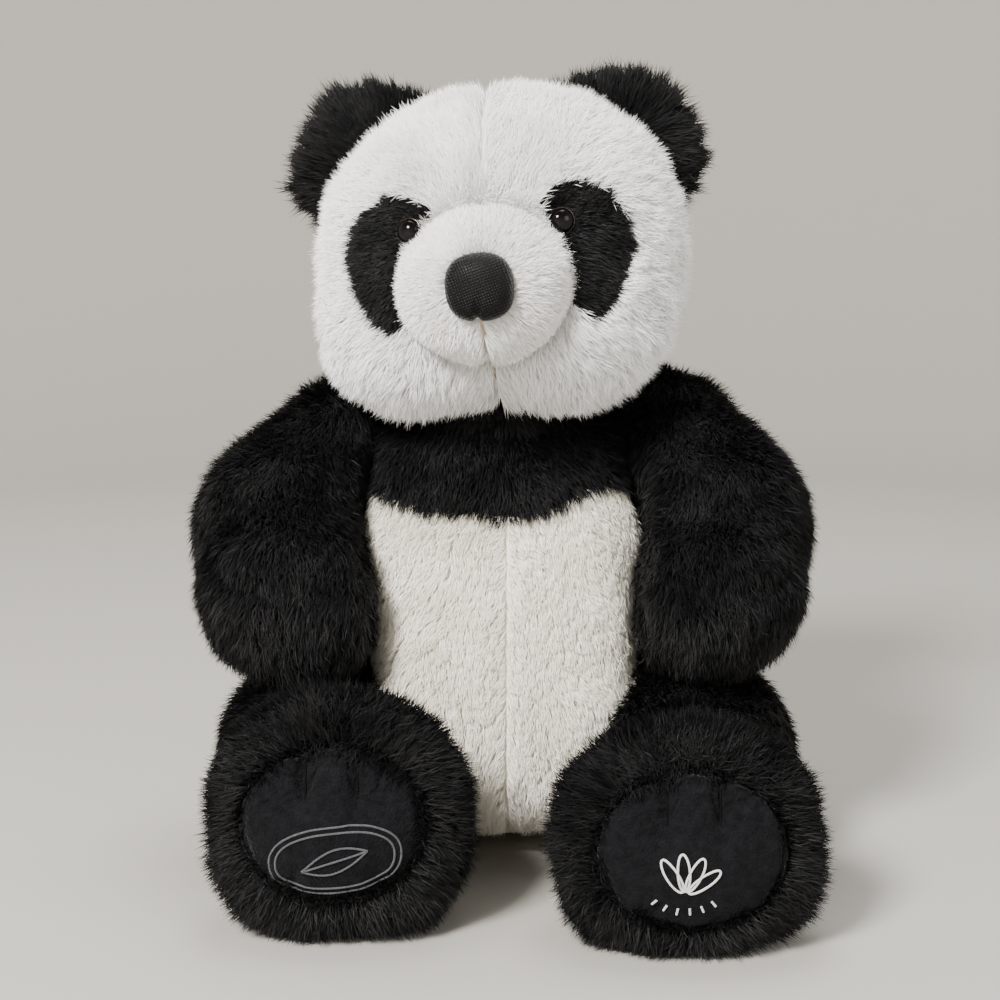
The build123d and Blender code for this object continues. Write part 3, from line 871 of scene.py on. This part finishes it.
def furry_arm(side, sign):
    """An arm's skin, with fine fur in front, coarser fur behind and sparse fur against the flank."""
    form = arm_form(sign)
    body = f"arm_{side}"
    nodes = [f"arm_outer_panel_{side}", f"arm_inner_panel_{side}", f"arm_stuffing_{side}"]
    arm = skin(f"arm_skin_{side}", form, (sign * 92, -34, 158), body, [BLACK_SKIN], nodes=nodes)

    def against_flank(p, n):
        return n[:, 0] * sign < -0.75

    def in_front(p, n):
        return ~against_flank(p, n) & (p[:, 1] < -30)

    def behind(p, n):
        return ~against_flank(p, n) & (p[:, 1] >= -30)

    fur(f"arm_fur_outer_{side}", arm, form, body, BLACK, arm_comb, in_front, 1.9, 9.5,
        lift=0.8, width=0.55, seed=30 + sign)
    fur(f"arm_fur_back_{side}", arm, form, body, BLACK, arm_comb, behind, 1.4, 9.5,
        lift=0.8, width=0.6, seed=33 + sign)
    fur(f"arm_fur_inner_{side}", arm, form, body, BLACK, arm_comb, against_flank, 0.5, 7,
        lift=0.4, seed=36 + sign)


for side, sign in SIDES.items():
    furry_arm(side, sign)

# ---------------------------------------------------------------- legs and soles
FLEECE = cloth_material("sole_fleece", (0.0025, 0.0025, 0.003), (0.006, 0.006, 0.008), 260,
                        bump=0.9, sheen=0.04, weave=900, specular=0.1)


def sole_pad(side):
    """A padded sole: a grid bent to an oval, sewn at its scalloped rim and two toe tucks, then filled."""
    cx, cy, cz = SOLE[side]
    count = 76
    line = np.linspace(-1, 1, count)
    across, up = (g.ravel() for g in np.meshgrid(line, line))
    u, v = across * np.sqrt(1 - up**2 / 2), up * np.sqrt(1 - across**2 / 2)
    toes = sum(np.exp(-(((u * SOLE_SIZE[0] - t) / 4.0) ** 2)) for t in TUCKS) * (v > 0)
    v = v * (1 - 0.11 * toes)
    rim = np.clip(1 - u**2 - v**2, 0, 1)
    front = np.stack([cx + u * SOLE_SIZE[0], cy + 2.5 - 6.0 * rim**0.6, cz + v * SOLE_SIZE[1]], 1)
    edge = np.maximum(np.abs(across), np.abs(up)) > 0.999
    away = np.abs(np.abs(front[:, 0] - cx) - TUCKS[1])
    above = np.clip((front[:, 2] - cz - 10) / 6, 0, 1)
    front[:, 1] += 3.6 * np.exp(-((away / 2.4) ** 2)) * above * np.minimum(1, rim * 6)
    tucked = (away < 0.75) & (above > 0.5)
    at = np.arange(count * count).reshape(count, count)
    faces = np.stack([at[:-1, :-1], at[:-1, 1:], at[1:, 1:], at[1:, :-1]], -1).reshape(-1, 4)
    trial = mesh_object("sole_trial", front, faces, [])
    front = puff(trial, edge | tucked, 20.0)
    bpy.data.objects.remove(trial)
    front[:, 1] += noise(front, 6, 61) * 0.25 + noise(front, 1.5, 62) * 0.1
    loop = np.concatenate([at[0, :-1], at[:-1, -1], at[-1, :0:-1], at[:0:-1, 0]])
    back = front[loop] + np.array((0, 5, 0))
    first = len(front)
    ring = first + np.arange(len(loop))
    middle = np.array([[cx, back[:, 1].mean(), cz]])
    skirt = np.stack([np.roll(loop, -1), loop, ring, np.roll(ring, -1)], 1)
    fan = np.stack([np.roll(ring, -1), ring, np.full(len(ring), first + len(ring))], 1)
    halves = ([0, 1, 2], [0, 2, 3])
    triangles = np.concatenate([faces[:, h] for h in halves] + [skirt[:, h] for h in halves] + [fan])
    sole = mesh_object(f"sole_pad_{side}", np.concatenate([front, back, middle]), triangles, [FLEECE])
    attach(sole, f"leg_{side}")
    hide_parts(f"sole_{side}")
    return front


def furry_leg(side, sign):
    """A leg's skin, with long fur swept round the foot, a ruff over the sole's rim and shorter fur behind."""
    form = leg_form(side)
    body = f"leg_{side}"
    cx, cy, cz = SOLE[side]
    nodes = [f"leg_cover_{side}", f"foot_cover_{side}", f"leg_stuffing_{side}", f"foot_pellet_bag_{side}"]
    leg = skin(f"leg_skin_{side}", form, (sign * 84, -96, 44), body, [BLACK_SKIN], nodes=nodes, detail=7)

    def over_sole(p, size):
        u, v = (p[:, 0] - cx) / (SOLE_SIZE[0] * size), (p[:, 2] - cz) / (SOLE_SIZE[1] * size)
        return (u**2 + v**2 < 1) & (p[:, 1] < cy + 20)

    def leg_comb(p):
        along = np.zeros_like(p)
        along[:, 2] = -0.8
        along[:, 1] = -0.6
        round_foot = p - np.array((cx, cy + 14, cz))
        round_foot[:, 1] = -14
        round_foot = unit(round_foot)
        share = np.clip((cy + 52 - p[:, 1]) / 30, 0, 1)[:, None]
        return along * (1 - share) + round_foot * share

    def rim_comb(p):
        inward = np.array((cx, 0, cz)) - p
        inward[:, 1] = 0
        return unit(inward) * 0.55

    def off_ground(p, n):
        return (p[:, 2] > 3.5) & (n[:, 2] > -0.9)

    def on_foot(p, n):
        return off_ground(p, n) & (p[:, 1] < cy + 56) & ~over_sole(p, 0.97)

    def on_rim(p, n):
        return over_sole(p, 1.1) & ~over_sole(p, 0.93)

    def on_leg(p, n):
        return off_ground(p, n) & (p[:, 1] >= cy + 56)

    fur(f"foot_fur_{side}", leg, form, body, BLACK, leg_comb, on_foot, 1.8, 11, width=0.6, seed=50 + sign)
    fur(f"sole_edge_fur_{side}", leg, form, body, BLACK, rim_comb, on_rim, 2.2, 7.5,
        lift=1.0, width=0.6, tuft=5, gather=0.5, seed=56 + sign)
    fur(f"leg_fur_{side}", leg, form, body, BLACK, leg_comb, on_leg, 1.1, 9.5, lift=0.8, seed=53 + sign)


def lay(front, x, z, rise=0.25):
    """Thread points lying on a sole, whose front points are given."""
    gap = (front[None, :, 0] - x[:, None]) ** 2 + (front[None, :, 2] - z[:, None]) ** 2
    weight = np.exp(-gap / 2.0)
    return np.stack([x, (weight * front[None, :, 1]).sum(1) / weight.sum(1) - rise, z], 1)


def bow(t, width, height):
    """An oval a little fuller than an ellipse."""
    u, v = np.cos(t), np.sin(t)
    return width * np.sign(u) * np.abs(u) ** 0.85, height * np.sign(v) * np.abs(v) ** 0.85


def toe_tucks(side, front):
    """The stitched line down each toe tuck."""
    cx, _, cz = SOLE[side]
    v = np.linspace(13, 27, 24)
    for tuck, at in zip(TUCKS, ("in", "out")):
        points = lay(front, np.full(len(v), cx + tuck), cz + v, -0.1)
        nodes = [f"toe_stitches_{side}"] if at == "in" else []
        thread(f"toe_tuck_{at}_{side}", points, 0.45, THREAD_BLACK, f"leg_{side}", nodes)


def leaf_badge(front):
    """The right sole's grey motif: a double ring round a plain leaf."""
    cx, _, cz = SOLE["right"]
    middle_x, middle_z = cx + 1.5, cz - 12.5
    t = np.linspace(0, 2 * math.pi, 90)
    for k, (width, height) in enumerate(((28.0, 15.5), (25.2, 12.9))):
        u, v = bow(t, width, height)
        points = lay(front, middle_x + u, middle_z + v + u * 0.1)
        nodes = ["sole_embroidery_right"] if k == 0 else []
        thread(f"emblem_ring_{k}_right", points, 0.45, THREAD_GREY, "leg_right", nodes)
    across = np.linspace(-14, 14, 30)
    for k, bend in enumerate((5.5, 0, -5.5)):
        up = across * 0.35 + bend * np.cos(across / 14 * math.pi / 2)
        points = lay(front, middle_x + across, middle_z + up)
        thread(f"emblem_leaf_{k}_right", points, 0.45, THREAD_GREY, "leg_right")


def leaf_fan(front):
    """The left sole's white motif: a fan of four leaves over a row of dashes."""
    cx, _, cz = SOLE["left"]
    t = np.linspace(0, 2 * math.pi, 40)
    along, across = 10 + 8 * np.cos(t), 2.5 * np.sin(t)
    for k, angle in enumerate((38, 66, 94, 122)):
        a = math.radians(angle)
        x = cx - 4 + along * math.cos(a) - across * math.sin(a)
        z = cz - 15 + along * math.sin(a) + across * math.cos(a)
        nodes = ["sole_embroidery_left"] if k == 0 else []
        thread(f"emblem_leaf_{k}_left", lay(front, x, z), 0.5, THREAD_WHITE, "leg_left", nodes)
    dash = np.array((18.5, 20.0, 21.5))
    for k, angle in enumerate(range(-128, -40, 15)):
        a = math.radians(angle)
        points = lay(front, cx - 4 + dash * math.cos(a), cz - 3 + dash * math.sin(a))
        thread(f"emblem_dash_{k}_left", points, 0.5, THREAD_WHITE, "leg_left")


sole_fronts = {side: sole_pad(side) for side in SIDES}
for side, sign in SIDES.items():
    furry_leg(side, sign)
    toe_tucks(side, sole_fronts[side])
leaf_badge(sole_fronts["right"])
leaf_fan(sole_fronts["left"])

# ---------------------------------------------------------------- stitches that close the back
for name in [n for n in frame["nodes"] if n.startswith("back_closing")]:
    node = frame["nodes"][name]
    node.data.materials.clear()
    node.data.materials.append(THREAD_WHITE)

# ---------------------------------------------------------------- floor, light and camera
def stage_material(name, colour):
    material, nodes, links, shader = new_material(name)
    shader.inputs["Base Color"].default_value = (*colour, 1)
    shader.inputs["Roughness"].default_value = 0.7
    return material


# A seamless bowl: a flat floor, a cove all round and an upright wall.
flat_radius, cove, wall_top = 1300.0, 800.0, 3400.0
curve = [
    (flat_radius + cove * math.sin(t), cove - cove * math.cos(t)) for t in np.linspace(0, math.pi / 2, 14)
]
bowl_points, bowl_faces = lathe([(0.001, 0.0), (600.0, 0.0)] + curve + [(flat_radius + cove, wall_top)], 96)
floor = mesh_object("floor", bowl_points, bowl_faces, [stage_material("floor_pale", (0.44, 0.425, 0.39))])


def area_light(name, at, towards, size, power, colour=(1, 1, 1)):
    data = bpy.data.lights.new(name, "AREA")
    data.shape, data.size, data.energy, data.color = "SQUARE", size, power, colour
    lamp = bpy.data.objects.new(name, data)
    lamp.location = at
    lamp.rotation_euler = (Vector(towards) - Vector(at)).to_track_quat("-Z", "Y").to_euler()
    bpy.context.scene.collection.objects.link(lamp)


area_light("key", (-0.9, -1.5, 1.5), (0, 0, 0.2), 0.5, 112, (1, 0.98, 0.95))
area_light("fill", (1.4, -1.2, 0.9), (0, 0, 0.2), 1.0, 12, (0.95, 0.97, 1))
area_light("top", (0.1, 0.3, 2.0), (0, 0, 0.2), 1.0, 30)
world = bpy.data.worlds.new("studio")
world.use_nodes = True
soft = world.node_tree.nodes["Background"]
soft.inputs["Color"].default_value, soft.inputs["Strength"].default_value = (0.86, 0.85, 0.83, 1), 0.25
bpy.context.scene.world = world

lens = bpy.data.cameras.new("camera")
lens.sensor_width, lens.sensor_fit = 36, "AUTO"
lens.angle = 2 * math.atan(500 / 1700)
lens.clip_start, lens.clip_end = 0.05, 20
camera = bpy.data.objects.new("camera", lens)
camera.location = (0, -0.85954, 0.30297)
camera.rotation_euler = (Vector((0, -0.020, 0.170)) - camera.location).to_track_quat("-Z", "Y").to_euler()
bpy.context.scene.collection.objects.link(camera)
bpy.context.scene.camera = camera
